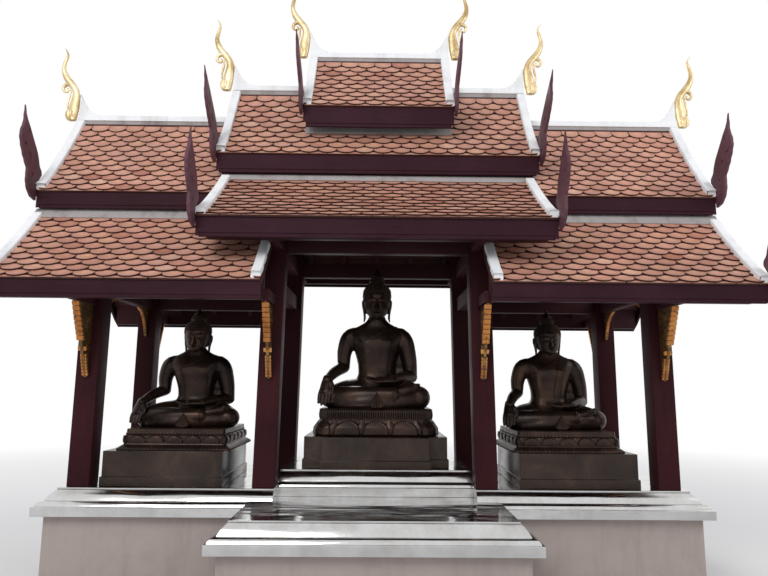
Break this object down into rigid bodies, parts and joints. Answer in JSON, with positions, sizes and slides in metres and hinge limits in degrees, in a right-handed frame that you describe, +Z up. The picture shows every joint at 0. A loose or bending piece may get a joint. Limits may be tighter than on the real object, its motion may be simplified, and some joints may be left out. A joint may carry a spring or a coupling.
{
  "type": "temple pavilion",
  "caption": "Open-sided temple pavilion with stepped tiled roofs, swept ridge finials and eave brackets over seated bronze figures on a white plinth with polished steel caps.",
  "frame": {"origin": "centre of the plinth's underside, on the ground and on the vertical line through the middle of the ridge", "axes": "+X along the ridges to the viewer's right, -Y to the front, +Z up"},
  "size_m": [6.414, 3.2982, 5.7],
  "materials": {
    "render": "off-white painted render, matt",
    "steel": "mirror-polished stainless sheet",
    "timber": "maroon-brown paint, satin",
    "tile": "terracotta fish-scale tiles, low gloss",
    "white_cement": "white painted cement, matt",
    "gilt": "gilded carving, worn",
    "pedestal": "dark polished stone",
    "bronze": "dark bronze patina"
  },
  "bodies": {
    "root": {"plinth_wings": "render", "plinth_dais": "render", "plinth_shelf": "render", "wing_caps": "steel", "dais_cap": "steel", "shelf_cap": "steel", "outer_posts": "timber", "inner_posts": "timber", "side_tie_beams": "timber", "centre_tie_beams": "timber", "cross_beams": "timber", "bearers": "timber", "side_plates": "timber", "plate_ties": "timber", "gable_panels": "timber", "middle_walls": "timber", "top_walls": "timber", "eave_purlins": "timber", "outriggers": "timber", "rafters": "timber", "eave_blades": "timber", "side_lower_boards": "timber", "side_upper_boards": "timber", "centre_lower_boards": "timber", "centre_middle_boards": "timber", "centre_top_boards": "timber", "side_lower_decks": "tile", "side_upper_decks": "tile", "centre_lower_decks": "tile", "centre_middle_decks": "tile", "centre_top_decks": "tile", "side_lower_verges": "white_cement", "side_upper_verges": "white_cement", "centre_lower_verges": "white_cement", "centre_middle_verges": "white_cement", "centre_top_verges": "white_cement", "ridge_caps": "white_cement", "ridge_horns": "white_cement", "flashings": "white_cement", "finials": "gilt", "eave_brackets": "gilt", "centre_pedestal": "pedestal", "side_pedestals": "pedestal", "centre_image": "bronze", "side_images": "bronze"}
  },
  "joints": []
}
